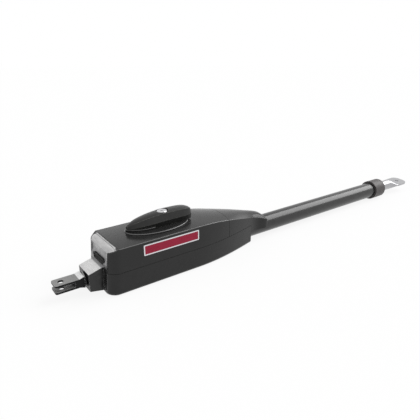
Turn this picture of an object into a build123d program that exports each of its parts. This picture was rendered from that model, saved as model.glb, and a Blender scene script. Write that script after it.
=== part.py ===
from build123d import *
import os
from math import atan2, cos, degrees, pi, radians, sin, sqrt, tan

# Linear swing gate opener, in millimetres.
# The origin is the centre of the rear fork's pin hole, on the ram's axis.
# X runs along the ram to its eye, Z is up, and -Y is the side with the badge.

# Rear fork
pin_hole_radius = 5.5
fork_tip = 14.0
fork_tip_corner = 4.0
fork_half_width = 13.7
fork_half_height = 8.6
fork_slot_half = 4.6
fork_slot_depth = 22.0
fork_flat_end = 30.0
fork_root_end = 39.7
fork_root_half_height = 11.6
washer_thickness = 1.8
washer_radius = 15.5
spacer_ring_radius = 12.5
fork_bolt_radius = 6.0
fork_bolt_length_in_fork = 15.0
fork_bolt_end_gap = 1.0
bolt_clearance = 0.1
hex_head_across = 18.0
hex_head_height = 8.0

# End casting
block_start = 44.2
block_half_width = 25.0
block_bottom = -17.5
block_top = 18.0
block_end_top = 28.0
block_end_bottom = -24.5
bolt_seat = 80.5
casting_top = 67.2
casting_wall = 5.0
casting_dome_radius = 15.0
casting_face_end = 93.2
casting_lip_end = 104.0
casting_fit = 0.3
casting_floor_end = 78.0
rim_groove_width = 1.8
rim_groove_depth = 1.4
rim_groove_from_edge = 3.2
rim_groove_bottom = 50.0
scoop_radius = 35.8
scoop_behind_rear = 28.9
scoop_height = 49.0
scoop_half_width = 37.0
gland_centre_z = 32.0
gland_half_length = 24.0
gland_half_height = 5.0
gland_face = 75.5
gland_depth = 2.5
lug_margin = 1.0

# Body covers
body_rear = 71.7
rear_lean = 0.085
rear_corner_radius = 22.0
body_half_width = 55.0
body_bottom = -28.0
body_edge_top = 67.3
body_crest_top = 69.3
body_wall = 2.5
body_bottom_radius = 7.0
body_top_radius = 2.5
wrap_from_side = 15.5
wrap_rear_x = 66.0
wrap_rear_drop = 12.7
wrap_middle_x = 84.0
wrap_middle_drop = 6.2
wrap_front_drop = 0.7
parting_height = 17.5
seal_thickness = 1.0
seal_inset = 0.6
straight_end = 273.0
nose_seam = 360.0
nose_seam_gap = 0.8
lower_cover_end = 443.0
nose_end = 497.0
nose_skirt_bottom = 0.0
nose_end_edge_top = 21.5
nose_bulkhead = 14.0
lower_end_wall = 4.0
tube_fit = 0.3

# Lever and its pad
lever_pivot_x = 244.0
lever_tip_x = 137.0
lever_lock_x = 217.0
lever_end_x = 281.0
lever_half_width = 20.0
lever_top = 100.0
lever_bottom = 71.9
lever_over_pad = 76.6
lever_deep_radius = 56.5
platform_half_length = 71.0
platform_half_width = 39.5
platform_centre_x = 205.0
platform_top = 71.4
pad_top = 76.0
pad_length = 60.0
pad_arc_radius = 58.5
pad_tip_margin = 3.0
pad_shoulder = 12.0
pad_shoulder_share = 0.62
pad_edge = 1.2
lever_shaft_radius = 7.0
lever_shaft_bottom = 50.0
lever_collar_radius = 10.0
lever_collar_height = 3.0
shaft_boss_radius = 11.0
shaft_boss_bottom = 60.0
running_fit = 0.1
eccentric_throw = 3.0
eccentric_pin_radius = 3.0
eccentric_pin_bottom = 41.0
lock_radius = 10.7
lock_bezel_radius = 13.0
lock_floor = 82.0
lock_face = 98.6
lock_tail_radius = 4.0
lock_cam_thickness = 2.5
lock_cam_bottom = 73.2
cam_reach = 11.0
cam_half_width = 5.0
cam_clearance = 0.5
hub_top = 88.0
collar_play = 0.4
bezel_sunk = 0.6
lock_edge = 0.8
key_slot_length = 8.0
key_slot_width = 1.6
key_slot_depth = 3.0

# Badge
badge_start = 143.5
badge_end = 270.3
badge_bottom = 39.0
badge_top = 61.0
badge_border = 2.4
badge_thickness = 1.2
badge_recess = 0.5
badge_gap = 0.1
badge_corner = 1.5
badge_plate_sunk = 0.3

# Outer tube and front cap
tube_radius = 22.5
tube_wall = 2.0
tube_start = 300.0
tube_end = 1004.0
cap_start = 967.0
cap_end = 1016.0
cap_radius = 28.0
cap_front_chamfer = 1.5
cap_inner_step = 1006.0
bush_start = 974.0
tube_pin_radius = 2.5
tube_pin_depth = 5.0
seal_start = 1008.0
seal_end = 1013.0
seal_outer_radius = 20.0
cap_clearance = 0.6

# Ram
ram_radius = 16.0
ram_wall = 2.5
ram_start = 377.0
ram_flatten_start = 1068.0
ram_flat_start = 1104.0
ram_eye_x = 1130.3
ram_eye_to_tip = 28.2
ram_flat_half_width = 24.0
ram_flat_thickness = 5.0
ram_tip_corner = 20.0
ram_solid_plug = 8.0
ram_roll = 8.0
nut_start = 335.0
nut_end = 375.0
nut_neck_length = 24.0
nut_radius = 20.1
ram_guide_fit = 0.1

# Lead screw
screw_radius = 9.0
screw_start = 207.5
screw_end = 815.0
screw_journal_radius = 8.0
screw_hex_across = 13.5
screw_bearing_radius = 8.5
tip_guide_start = 806.0
tip_guide_thickness = 7.0
tip_guide_clearance = 0.3
screw_tip_radius = 6.0
ring_from_end = 1.0

# Gear train
gear_module = 1.25
pressure_angle = 25.0
addendum = 0.9
dedendum = 1.2
backlash = 0.16
pinion_teeth = 12
wheel_teeth = 36
output_teeth = 28
motor_axis_z = 38.0
wheel_start = 198.5
wheel_thickness = 8.0
output_start = 212.0
output_thickness = 10.0
idler_pinion_end = 223.0
axle_radius = 4.0
axle_end = 227.0
axle_clip_thickness = 1.2
clip_play = 0.4
clip_groove_depth = 0.8
clip_rim = 2.0
clip_slot = 3.2
idler_hub_radius = 5.9
pinion_overhang = 1.0
dog_height = 5.0
dog_inner_radius = 10.5
dog_outer_radius = 15.0
dog_angle = 38.0
dog_count = 4
dog_root = 0.5
sleeve_gap = 0.4
sleeve_length = 28.0
sleeve_radius = 17.0
sleeve_groove_radius = 13.0
sleeve_groove_width = 6.0

# Gear chassis
chassis_rear = 190.0
chassis_plate = 6.0
chassis_gap = 2.5
chassis_side = 3.5
chassis_floor = 4.0
chassis_top = 58.0
chassis_wall_top = 36.0
chassis_corner_radius = 5.0
bearing_plate_start = 262.0
bearing_plate = 8.0
bearing_boss_end = 300.0
bearing_boss_radius = 24.0
bearing_outer_radius = 20.0
bearing_width = 12.0
bearing_gap = 6.0
bearing_shoulder = 2.0
screw_room = 3.0
ball_radius = 3.0
ball_count = 9
race_gap = 0.05
spigot_end = 325.0
rail_gap = 0.5
rail_width = 7.0
rail_from_wrap = 2.0
rail_bottom = -22.0
rail_top = -5.0
frame_screw_radius = 3.0
frame_screw_head_radius = 5.0
frame_screw_head = 5.0
frame_screw_socket = 5.0
frame_screw_socket_depth = 3.0
frame_screw_hold = 14.0
screw_hole_beyond = 2.0
guide_rod_radius = 3.0
guide_rod_y = -28.0
guide_rod_z = 10.0
shift_fork_thickness = 5.5
yoke_clearance = 0.3
yoke_rim = 3.0
yoke_root = 1.5
arm_half_width = 8.0
slot_plate_half = 7.0
slot_plate_height = 6.0
pin_slot_clearance = 0.8
pin_slot_end_clearance = 1.2
rod_boss_half = 9.0
rod_boss_radius = 6.0

# Motor
motor_radius = 26.0
motor_bell_from_casting = 2.0
motor_bell_length = 8.0
motor_can_wall = 2.0
motor_nose_hole = 7.0
motor_shaft_radius = 4.0
motor_shaft_end = 212.0
motor_screw_y = 17.0
motor_screw_radius = 2.0
motor_screw_hole = 2.1
motor_screw_head = 2.0
motor_screw_head_radius = 3.5
motor_shaft_in_bell = 3.0
bell_edge = 2.0
brush_cap_length = 9.0
brush_cap_sunk = 1.5
magnet_from_end = 12.0
brush_cap_radius = 2.6
armature_gap = 3.0
armature_slot_radius = 1.8
armature_slot_count = 10
magnet_thickness = 2.6
magnet_spread = 105.0

# Terminal board
board_start = 110.0
board_end = 184.0
board_from_rail = 0.5
board_bottom = -3.0
board_thickness = 1.6
board_post_inset = 5.0
board_post_radius = 4.0
board_screw_radius = 1.5
board_screw_depth = 8.0
board_screw_head_radius = 2.8
board_screw_head = 1.8
terminal_count = 6
terminal_pitch = 8.0
terminal_width = 7.5
terminal_depth = 9.0
terminal_height = 9.0
terminal_well_radius = 1.8
terminal_from_end = 16.0
terminal_from_edge = 1.0
relay_from_end = 20.0
relay_length = 18.0
relay_width = 16.0
relay_height = 11.0
relay_y = 6.0
capacitor_from_end = 54.0
capacitor_y = 14.0
capacitor_radius = 5.0
capacitor_height = 10.5

# Screws in the covers
cover_screw_radius = 2.0
cover_post_radius = 4.2
cover_screw_xs = (125.0, 290.0, 402.0)
cover_screw_from_side = 7.8
cover_screw_top = 34.0
cover_screw_head_radius = 3.6
cover_screw_head = 3.0
cover_screw_head_sunk = 0.4
cross_width = 1.0
cross_depth = 1.5
cover_web = 3.0

far = 2000.0


def block(x0, x1, y0, y1, z0, z1):
    """A box between two corners."""
    return Pos((x0 + x1) / 2, (y0 + y1) / 2, (z0 + z1) / 2) * Box(x1 - x0, y1 - y0, z1 - z0)


def rod_x(x0, x1, radius, y=0.0, z=0.0):
    """A round bar along X."""
    return Pos((x0 + x1) / 2, y, z) * Rot(0, 90, 0) * Cylinder(radius, x1 - x0)


def rod_z(z0, z1, radius, x, y=0.0):
    """A round bar along Z."""
    return Pos(x, y, (z0 + z1) / 2) * Cylinder(radius, z1 - z0)


def rod_y(y0, y1, radius, x, z):
    """A round bar along Y."""
    return Pos(x, (y0 + y1) / 2, z) * Rot(90, 0, 0) * Cylinder(radius, abs(y1 - y0))


def across_x(x):
    """The YZ plane at a place along the ram, with local x along Y and local y along Z."""
    return Plane(origin=(x, 0, 0), x_dir=(0, 1, 0), z_dir=(1, 0, 0))


def hex_x(x0, x1, across, y=0.0, z=0.0):
    """A hexagonal bar along X."""
    outline = RegularPolygon(across / 2, 6, major_radius=False)
    return extrude(across_x(x0) * Pos(y, z) * outline, amount=x1 - x0)


def ease(x, x0, v0, s0, x1, v1, s1):
    """A smooth value between two places, with the slopes that it has there."""
    t = min(max((x - x0) / (x1 - x0), 0.0), 1.0)
    length = x1 - x0
    start = (2 * t**3 - 3 * t**2 + 1) * v0 + (t**3 - 2 * t**2 + t) * length * s0
    return start + (3 * t**2 - 2 * t**3) * v1 + (t**3 - t**2) * length * s1


# What follows from the sizes above
wrap_y = body_half_width - wrap_from_side
rail_outer = wrap_y - rail_from_wrap
rail_inner = rail_outer - rail_width
rail_start = casting_lip_end + rail_gap
rail_y = (rail_inner + rail_outer) / 2
rail_z = (rail_bottom + rail_top) / 2
board_half_width = rail_inner - board_from_rail
chassis_half_width = body_half_width - body_wall - chassis_gap
chassis_bottom = body_bottom + body_wall + casting_fit
motor_bell_start = casting_lip_end + motor_bell_from_casting
motor_can_start = motor_bell_start + motor_bell_length
ram_tip = ram_eye_x + ram_eye_to_tip

# Nose shape, from the straight body to the arch over the tube
nose_half_width = tube_radius + tube_fit + body_wall
nose_end_crest = nose_half_width + 0.5
shoulder_x = 440.0
shoulder_half_width = nose_half_width + 1.5
shoulder_crest = 48.6
shoulder_edge = 38.6
shoulder_slope = -0.27


def half_width_at(x):
    if x <= shoulder_x:
        return ease(x, straight_end, body_half_width, 0, shoulder_x, shoulder_half_width, shoulder_slope)
    return ease(x, shoulder_x, shoulder_half_width, shoulder_slope, nose_end, nose_half_width, 0.1)


def crest_at(x):
    if x <= shoulder_x:
        return ease(x, 1.1 * straight_end, body_crest_top, 0, shoulder_x, shoulder_crest, shoulder_slope)
    return ease(x, shoulder_x, shoulder_crest, shoulder_slope, nose_end, nose_end_crest, -0.85)


def edge_at(x):
    if x <= shoulder_x:
        return ease(x, 1.02 * straight_end, body_edge_top, 0, shoulder_x, shoulder_edge, shoulder_slope)
    return ease(x, shoulder_x, shoulder_edge, shoulder_slope, nose_end, nose_end_edge_top, -0.45)


def body_section(x, inset, rounded_foot=True):
    """The covers' section at a place along the ram, set in from the outside by a wall."""
    half = half_width_at(x) - inset
    bottom = body_bottom + inset
    edge = edge_at(x) - inset
    crest = crest_at(x) - inset
    low = max(body_bottom_radius - inset, 1.0)
    high = body_top_radius if inset == 0 else 1.0
    bend = 1 - sqrt(0.5)
    if rounded_foot:
        side_start = bottom + low
        bend_y = half - low * bend
        bend_z = bottom + low * bend
        foot = [
            ThreePointArc((-half, side_start), (-bend_y, bend_z), (-half + low, bottom)),
            Line((-half + low, bottom), (half - low, bottom)),
            ThreePointArc((half - low, bottom), (bend_y, bend_z), (half, side_start)),
        ]
    else:
        side_start = bottom - low
        foot = [Line((-half, side_start), (half, side_start))]
    top_bend_y = half - high * bend
    top_bend_z = edge - high * bend
    outline = foot + [
        Line((half, side_start), (half, edge - high)),
        ThreePointArc((half, edge - high), (top_bend_y, top_bend_z), (half - high, edge)),
        ThreePointArc((half - high, edge), (0, crest), (-half + high, edge)),
        ThreePointArc((-half + high, edge), (-top_bend_y, top_bend_z), (-half, edge - high)),
        Line((-half, edge - high), (-half, side_start)),
    ]
    return across_x(x) * make_face(Wire(outline))


def plan_prism(inset):
    """The body's plan with its rounded rear corners, leaning forward as it rises, on a rounded foot."""
    bottom = body_bottom + inset
    rear = body_rear + rear_lean * bottom + inset
    length = straight_end + body_half_width - rear
    outline = RectangleRounded(length, 2 * (body_half_width - inset), rear_corner_radius - inset)
    height = body_crest_top + 1 - bottom
    lean = (rear_lean, 0, 1)
    foot_face = Pos(rear + length / 2, 0, bottom) * outline
    prism = extrude(foot_face, amount=height * sqrt(1 + rear_lean**2), dir=lean)
    return fillet(prism.edges().group_by(Axis.Z)[0], max(body_bottom_radius - inset, 1.0))


def rear_form(inset):
    """The straight part of the body behind the nose, or its cavity."""
    return extrude(body_section(0, inset, rounded_foot=False), amount=straight_end) & plan_prism(inset)


def body_form(inset, end):
    """The covers' outer form, or its cavity, from the rear to a place along the nose."""
    steps = 9
    places = [straight_end + (end - straight_end) * i / steps for i in range(steps + 1)]
    return rear_form(inset) + loft([body_section(x, inset) for x in places])


def dome_form(inset):
    """The casting's outer form with its domed top edge, set in from the outside."""
    form = plan_prism(inset) & block(0, casting_face_end, -far, far, -far, casting_top - inset)
    top_edges = form.edges().group_by(Axis.Z)[-1].sort_by(Axis.X)
    return fillet(top_edges[:-1], casting_dome_radius - inset)


def wrap_zone(grow):
    """Where the covers reach round the rear corners beside the casting, grown by a clearance."""
    rear_top = casting_top - wrap_rear_drop + grow
    middle_top = casting_top - wrap_middle_drop + grow
    front_top = casting_top - wrap_front_drop + grow
    front = casting_face_end + casting_fit
    foot = body_bottom - 1
    profile = [
        ThreePointArc((wrap_rear_x, rear_top), (wrap_middle_x, middle_top), (front, front_top)),
        Line((front, front_top), (front, foot)),
        Line((front, foot), (wrap_rear_x, foot)),
        Line((wrap_rear_x, foot), (wrap_rear_x, rear_top)),
    ]
    zone = extrude(Plane.XZ * make_face(Wire(profile)), amount=body_half_width + 1, both=True)
    inner = wrap_y - grow
    return zone - block(0, far, -inner, inner, -far, far)


def involute_gear(teeth, x0, x1, y, z, tooth_angle):
    """A spur gear along X with a tooth centred at an angle from +Y towards +Z, in degrees."""
    pitch_radius = gear_module * teeth / 2
    base_radius = pitch_radius * cos(radians(pressure_angle))
    tip_radius = pitch_radius + addendum * gear_module
    root_radius = pitch_radius - dedendum * gear_module
    start_radius = max(base_radius, root_radius + 0.05)
    half_tooth = pi / (2 * teeth) - backlash / (4 * pitch_radius)
    offset = tan(radians(pressure_angle)) - radians(pressure_angle)
    flank_points = 5
    points = []
    for tooth in range(teeth):
        centre = radians(tooth_angle) + 2 * pi * tooth / teeth
        flank = []
        for i in range(flank_points):
            radius = start_radius + (tip_radius - start_radius) * i / (flank_points - 1)
            roll = sqrt(max((radius / base_radius) ** 2 - 1, 0.0))
            flank.append((radius, half_tooth + offset - (roll - atan2(roll, 1))))
        foot = (root_radius, flank[0][1])
        for radius, angle in [foot] + flank:
            points.append((radius * cos(centre - angle), radius * sin(centre - angle)))
        for radius, angle in list(reversed(flank)) + [foot]:
            points.append((radius * cos(centre + angle), radius * sin(centre + angle)))
    return extrude(across_x(x0) * Pos(y, z) * make_face(Polyline(points, close=True)), amount=x1 - x0)


def save(name, shape):
    """Writes one sub-part to its own file."""
    export_step(shape, f"parts/{name}.step")


os.makedirs("parts", exist_ok=True)

# Rear fork: two ears with the vertical pin hole, and a root that takes the bolt
ears = block(-fork_tip, fork_flat_end, -fork_half_width, fork_half_width, -fork_half_height, fork_half_height)
ears = fillet(ears.edges().filter_by(Axis.Z).group_by(Axis.X)[0], fork_tip_corner)
root_profile = Plane.XZ * make_face(
    Polyline(
        (fork_slot_depth, -fork_half_height),
        (fork_flat_end, -fork_half_height),
        (fork_root_end, -fork_root_half_height),
        (fork_root_end, fork_root_half_height),
        (fork_flat_end, fork_half_height),
        (fork_slot_depth, fork_half_height),
        close=True,
    )
)
fork = ears + extrude(root_profile, amount=fork_half_width, both=True)
fork -= block(-far, fork_slot_depth, -far, far, -fork_slot_half, fork_slot_half)
fork -= rod_z(-far, far, pin_hole_radius, 0)
fork_bolt_hole = fork_bolt_radius + bolt_clearance
fork -= rod_x(fork_root_end - fork_bolt_length_in_fork, fork_root_end, fork_bolt_hole)
save("rear_fork", fork)

# Washer against the fork's root, and the rubber ring between it and the casting
outer_washer_end = fork_root_end + washer_thickness
washer = rod_x(fork_root_end, outer_washer_end, washer_radius)
save("fork_washer", washer - rod_x(fork_root_end, outer_washer_end, fork_bolt_hole))
spacer = rod_x(outer_washer_end, block_start, spacer_ring_radius)
save("fork_spacer_ring", spacer - rod_x(outer_washer_end, block_start, fork_bolt_hole))

# Fork bolt: its head bears on the inside of the casting
bolt = rod_x(fork_root_end - fork_bolt_length_in_fork + fork_bolt_end_gap, bolt_seat, fork_bolt_radius)
bolt += hex_x(bolt_seat, bolt_seat + hex_head_height, hex_head_across)
save("fork_bolt", bolt)

# End casting: a domed shell open to the front, with the block for the fork behind it.
# The covers' corners lie in the room cut beside it, and its lip goes inside the covers.
lip_inset = body_wall + casting_fit
casting = dome_form(0)
scoop_x = body_rear - scoop_behind_rear
casting -= rod_y(-scoop_half_width, scoop_half_width, scoop_radius, scoop_x, scoop_height)
casting -= wrap_zone(casting_fit) - rear_form(lip_inset)
casting -= block(casting_floor_end, far, -far, far, -far, body_bottom + lip_inset)
casting += rear_form(lip_inset) & block(casting_face_end, casting_lip_end, -far, far, -far, far)
casting -= rear_form(lip_inset + casting_wall)
neck_profile = Plane.XZ * make_face(
    Polyline(
        (block_start, block_bottom),
        (bolt_seat, block_end_bottom),
        (bolt_seat, block_end_top),
        (block_start, block_top),
        close=True,
    )
)
casting += extrude(neck_profile, amount=block_half_width, both=True)

# Its rim groove, the recess of the cable entry, the lugs of the frame screws and the bolt hole
groove_start = casting_face_end - rim_groove_from_edge - rim_groove_width
groove = block(groove_start, groove_start + rim_groove_width, -far, far, rim_groove_bottom, far)
casting -= groove - dome_form(rim_groove_depth)
gland_slot = SlotOverall(2 * gland_half_length, 2 * gland_half_height)
gland_end = gland_face + gland_depth
casting -= extrude(across_x(body_rear) * Pos(0, gland_centre_z) * gland_slot, amount=gland_end - body_rear)
lug_half = rail_width / 2 + lug_margin
frame_screw_hole = frame_screw_radius + bolt_clearance
frame_head_seat = body_rear + frame_screw_head
for side in (-1, 1):
    y = side * rail_y
    lug = block(body_rear + lug_margin, casting_lip_end, y - lug_half, y + lug_half, rail_bottom, rail_top)
    casting += lug
    casting -= rod_x(body_rear, casting_lip_end, frame_screw_hole, y, rail_z)
    casting -= rod_x(block_start, frame_head_seat, frame_screw_head_radius + bolt_clearance, y, rail_z)
casting -= rod_x(block_start, bolt_seat, fork_bolt_hole)
save("end_casting", casting)

# Rubber grommet of the cable entry
grommet_slot = SlotOverall(2 * (gland_half_length - bolt_clearance), 2 * (gland_half_height - bolt_clearance))
grommet_face = across_x(gland_face) * Pos(0, gland_centre_z) * grommet_slot
save("cable_grommet", extrude(grommet_face, amount=gland_depth))

# Socket screws that hold the chassis rails to the casting
frame_screws = []
for side in (-1, 1):
    y = side * rail_y
    screw = rod_x(body_rear, rail_start + frame_screw_hold, frame_screw_radius, y, rail_z)
    screw += rod_x(body_rear, frame_head_seat, frame_screw_head_radius, y, rail_z)
    screw -= hex_x(body_rear, body_rear + frame_screw_socket_depth, frame_screw_socket, y, rail_z)
    frame_screws.append(screw)
save("frame_screws", Compound(children=frame_screws))

# Covers: one shell round the works and the rear corners, open where the casting and the tube are
outer_form = body_form(0, nose_end)
cavity = body_form(body_wall, nose_end - nose_bulkhead)
tube_hole = rod_x(0, far, tube_radius + tube_fit)
floor_start = casting_floor_end + casting_fit
rear_floor = block(floor_start, far, -far, far, -far, body_bottom + body_wall)
rear_bay = block(0, casting_face_end + casting_fit, -far, far, -far, far) - wrap_zone(0) - rear_floor
shell = outer_form - cavity - rear_bay - tube_hole

# Lower cover with the posts of the board and of the cover screws
lower_wall_start = lower_cover_end - lower_end_wall
lower = shell & block(0, lower_wall_start, -far, far, -far, parting_height)
end_wall = outer_form & block(lower_wall_start, lower_cover_end, -far, far, -far, parting_height)
lower += end_wall - tube_hole
post_foot = body_bottom + body_wall / 2
post_places = []
for x in (board_start + board_post_inset, board_end - board_post_inset):
    for y in (-board_half_width + board_post_inset, board_half_width - board_post_inset):
        post_places.append((x, y))
board_hole = board_screw_radius + bolt_clearance
board_hole_bottom = board_bottom - board_screw_depth - screw_hole_beyond
for x, y in post_places:
    lower += rod_z(post_foot, board_bottom, board_post_radius, x, y)
    lower -= rod_z(board_hole_bottom, board_bottom, board_hole, x, y)
screw_places = []
for x in cover_screw_xs:
    for side in (-1, 1):
        screw_places.append((x, side * (half_width_at(x) - cover_screw_from_side)))
cover_screw_hole = cover_screw_radius + bolt_clearance
head_seat = body_bottom + cover_screw_head
for x, y in screw_places:
    lower += rod_z(post_foot, parting_height, cover_post_radius, x, y)
    lower -= rod_z(-far, head_seat, cover_screw_head_radius + bolt_clearance, x, y)
    lower -= rod_z(-far, parting_height + 1, cover_screw_hole, x, y)
save("lower_cover", lower)

# Rubber seal between the covers, a little inside their outer face
seal_top = parting_height + seal_thickness
seal = body_form(seal_inset, nose_end) - cavity - rear_bay - tube_hole
save("cover_seal", seal & block(0, lower_cover_end - seal_inset, -far, far, parting_height, seal_top))

# Upper cover and nose cover, with webs that carry the posts of the screws
upper = shell & block(0, nose_seam - nose_seam_gap, -far, far, seal_top, far)
nose = shell & block(nose_seam, far, -far, far, seal_top, far)
nose += shell & block(lower_cover_end + casting_fit, far, -far, far, nose_skirt_bottom, seal_top)
post_top = cover_screw_top + screw_hole_beyond + 1
for x, y in screw_places:
    post = rod_z(seal_top, post_top, cover_post_radius, x, y)
    post -= rod_z(seal_top, cover_screw_top + 1, cover_screw_hole, x, y)
    wall_y = y + cover_screw_from_side * y / abs(y)
    web_y = sorted((y, wall_y))
    web = block(x - cover_web / 2, x + cover_web / 2, web_y[0], web_y[1], seal_top, cover_screw_top)
    web = (web & outer_form) - rod_z(-far, far, cover_post_radius - 0.1, x, y)
    if x < nose_seam:
        upper += post + web
    else:
        nose += post + web

# Platform and pad under the lever, and the boss for the lever's shaft
platform_foot = body_edge_top - body_wall
platform_face = Pos(platform_centre_x, 0, platform_foot) * Ellipse(platform_half_length, platform_half_width)
platform = extrude(platform_face, amount=platform_top - platform_foot)
platform = chamfer(platform.edges().group_by(Axis.Z)[-1], pad_edge)
pad_start = lever_tip_x - pad_tip_margin
pad_end = lever_tip_x + pad_length
pad_bend_x = lever_tip_x + pad_shoulder
pad_bend_y = lever_half_width * pad_shoulder_share
pad_outline = [
    ThreePointArc((pad_start, 0), (pad_bend_x, pad_bend_y), (pad_end, lever_half_width)),
    Line((pad_end, lever_half_width), (pad_end, -lever_half_width)),
    ThreePointArc((pad_end, -lever_half_width), (pad_bend_x, -pad_bend_y), (pad_start, 0)),
]
pad = extrude(Pos(0, 0, platform_foot) * make_face(pad_outline), amount=pad_top - platform_foot)
pad -= rod_z(0, far, pad_arc_radius, lever_pivot_x)
pad = fillet(pad.edges().group_by(Axis.Z)[-1], pad_edge)
upper += platform + pad
upper += rod_z(shaft_boss_bottom, platform_top, shaft_boss_radius, lever_pivot_x)
upper -= rod_z(0, far, lever_shaft_radius + running_fit, lever_pivot_x)

# Recess of the badge in the near side
badge_back = -body_half_width + badge_recess
upper -= block(badge_start, badge_end, -body_half_width, badge_back, badge_bottom, badge_top)
save("upper_cover", upper)
save("nose_cover", nose)

# Badge: a silver border round a bare red plate
badge_face = badge_back - badge_thickness
border_x = (badge_start + badge_gap, badge_end - badge_gap)
border_z = (badge_bottom + badge_gap, badge_top - badge_gap)
badge = block(border_x[0], border_x[1], badge_face, badge_back, border_z[0], border_z[1])
badge = fillet(badge.edges().filter_by(Axis.Y), badge_corner)
plate_x = (badge_start + badge_border, badge_end - badge_border)
plate_z = (badge_bottom + badge_border, badge_top - badge_border)
save("badge_border", badge - block(plate_x[0], plate_x[1], badge_face, badge_back, plate_z[0], plate_z[1]))
plate_face = badge_face + badge_plate_sunk
save("badge_plate", block(plate_x[0], plate_x[1], plate_face, badge_back, plate_z[0], plate_z[1]))

# Cross-head screws that hold the covers together from below
cover_screws = []
for x, y in screw_places:
    screw = rod_z(head_seat, cover_screw_top, cover_screw_radius, x, y)
    screw += rod_z(body_bottom + cover_screw_head_sunk, head_seat, cover_screw_head_radius, x, y)
    cross_length = 2 * cover_screw_head_radius - 2
    cross = Box(cross_length, cross_width, 2 * cross_depth) + Box(cross_width, cross_length, 2 * cross_depth)
    cover_screws.append(screw - Pos(x, y, body_bottom + cover_screw_head_sunk) * cross)
save("cover_screws", Compound(children=cover_screws))

# Gear chassis: motor plate, bearing plate with its boss, side walls, floor and two rails
bearing_plate_end = bearing_plate_start + bearing_plate
motor_plate_end = chassis_rear + chassis_plate
wide = chassis_half_width
chassis = block(chassis_rear, motor_plate_end, -wide, wide, chassis_bottom, chassis_top)
chassis += block(bearing_plate_start, bearing_plate_end, -wide, wide, chassis_bottom, chassis_wall_top)
chassis += block(chassis_rear, bearing_plate_end, -wide, wide, chassis_bottom, chassis_bottom + chassis_floor)
for side in (-1, 1):
    wall_y = sorted((side * (wide - chassis_side), side * wide))
    chassis += block(chassis_rear, bearing_plate_end, wall_y[0], wall_y[1], chassis_bottom, chassis_wall_top)
    y = side * rail_y
    rail = block(rail_start, chassis_rear + 1, y - rail_width / 2, y + rail_width / 2, rail_bottom, rail_top)
    hole_end = rail_start + frame_screw_hold + screw_hole_beyond
    chassis += rail - rod_x(rail_start, hole_end, frame_screw_hole, y, rail_z)
above_floor = block(0, far, -far, far, chassis_bottom, far)
chassis += rod_x(bearing_plate_start, bearing_boss_end, bearing_boss_radius) & above_floor
tube_bore = tube_radius - tube_wall
chassis += rod_x(bearing_boss_end, spigot_end, tube_bore - running_fit)
bearing_seat = bearing_plate_start + bearing_shoulder
bore_end = bearing_seat + 2 * bearing_width + bearing_gap
chassis -= rod_x(bearing_seat, bore_end, bearing_outer_radius)
chassis -= rod_x(0, far, screw_radius + screw_room)
idler_span = gear_module * (wheel_teeth + pinion_teeth) / 2
output_span = gear_module * (output_teeth + pinion_teeth) / 2
idler_z = (output_span**2 - idler_span**2 + motor_axis_z**2) / (2 * motor_axis_z)
idler_y = sqrt(output_span**2 - idler_z**2)
chassis -= rod_x(chassis_rear, motor_plate_end, motor_nose_hole + 2, 0, motor_axis_z)
chassis -= rod_x(chassis_rear, motor_plate_end, axle_radius, idler_y, idler_z)
chassis -= rod_x(chassis_rear, bearing_plate_end, guide_rod_radius, guide_rod_y, guide_rod_z)
for y in (-motor_screw_y, motor_screw_y):
    chassis -= rod_x(chassis_rear, motor_plate_end, motor_screw_hole, y, motor_axis_z)
tube_pin_x = (tube_start + spigot_end) / 2
tube_pins = []
for side in (-1, 1):
    pin_y = (side * (tube_bore - tube_pin_depth), side * tube_radius)
    tube_pins.append(rod_y(pin_y[0], pin_y[1], tube_pin_radius, tube_pin_x, 0))
chassis -= Compound(children=tube_pins)
corner_top = chassis_bottom + chassis_corner_radius
corners = block(chassis_rear, bearing_plate_end, -far, far, chassis_bottom, corner_top)
rounded = Pos(0, chassis_bottom + wide) * RectangleRounded(2 * wide, 2 * wide, chassis_corner_radius)
chassis -= corners - extrude(across_x(0) * rounded, amount=far)
save("gear_chassis", chassis)
save("guide_rod", rod_x(chassis_rear, bearing_plate_end, guide_rod_radius, guide_rod_y, guide_rod_z))

# Bearings: an outer race, an inner race and balls for each of the two places
outer_races = []
inner_races = []
balls = []
race_middle = (bearing_outer_radius + screw_bearing_radius) / 2
half_track = 2.0
for i in range(2):
    x0 = bearing_seat + i * (bearing_width + bearing_gap)
    x1 = x0 + bearing_width
    track = Pos((x0 + x1) / 2, 0, 0) * Rot(0, 90, 0) * Torus(race_middle, ball_radius + race_gap)
    outer_race = rod_x(x0, x1, bearing_outer_radius) - rod_x(x0, x1, race_middle + half_track)
    inner_race = rod_x(x0, x1, race_middle - half_track) - rod_x(x0, x1, screw_bearing_radius)
    outer_races.append(outer_race - track)
    inner_races.append(inner_race - track)
    for k in range(ball_count):
        angle = 2 * pi * k / ball_count
        place = Pos((x0 + x1) / 2, race_middle * cos(angle), race_middle * sin(angle))
        balls.append(place * Sphere(ball_radius))
save("bearing_outer_races", Compound(children=outer_races))
save("bearing_inner_races", Compound(children=inner_races))
save("bearing_balls", Compound(children=balls))



def motor_rod(x0, x1, radius):
    """A round bar on the motor's axis."""
    return rod_x(x0, x1, radius, 0, motor_axis_z)


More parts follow.
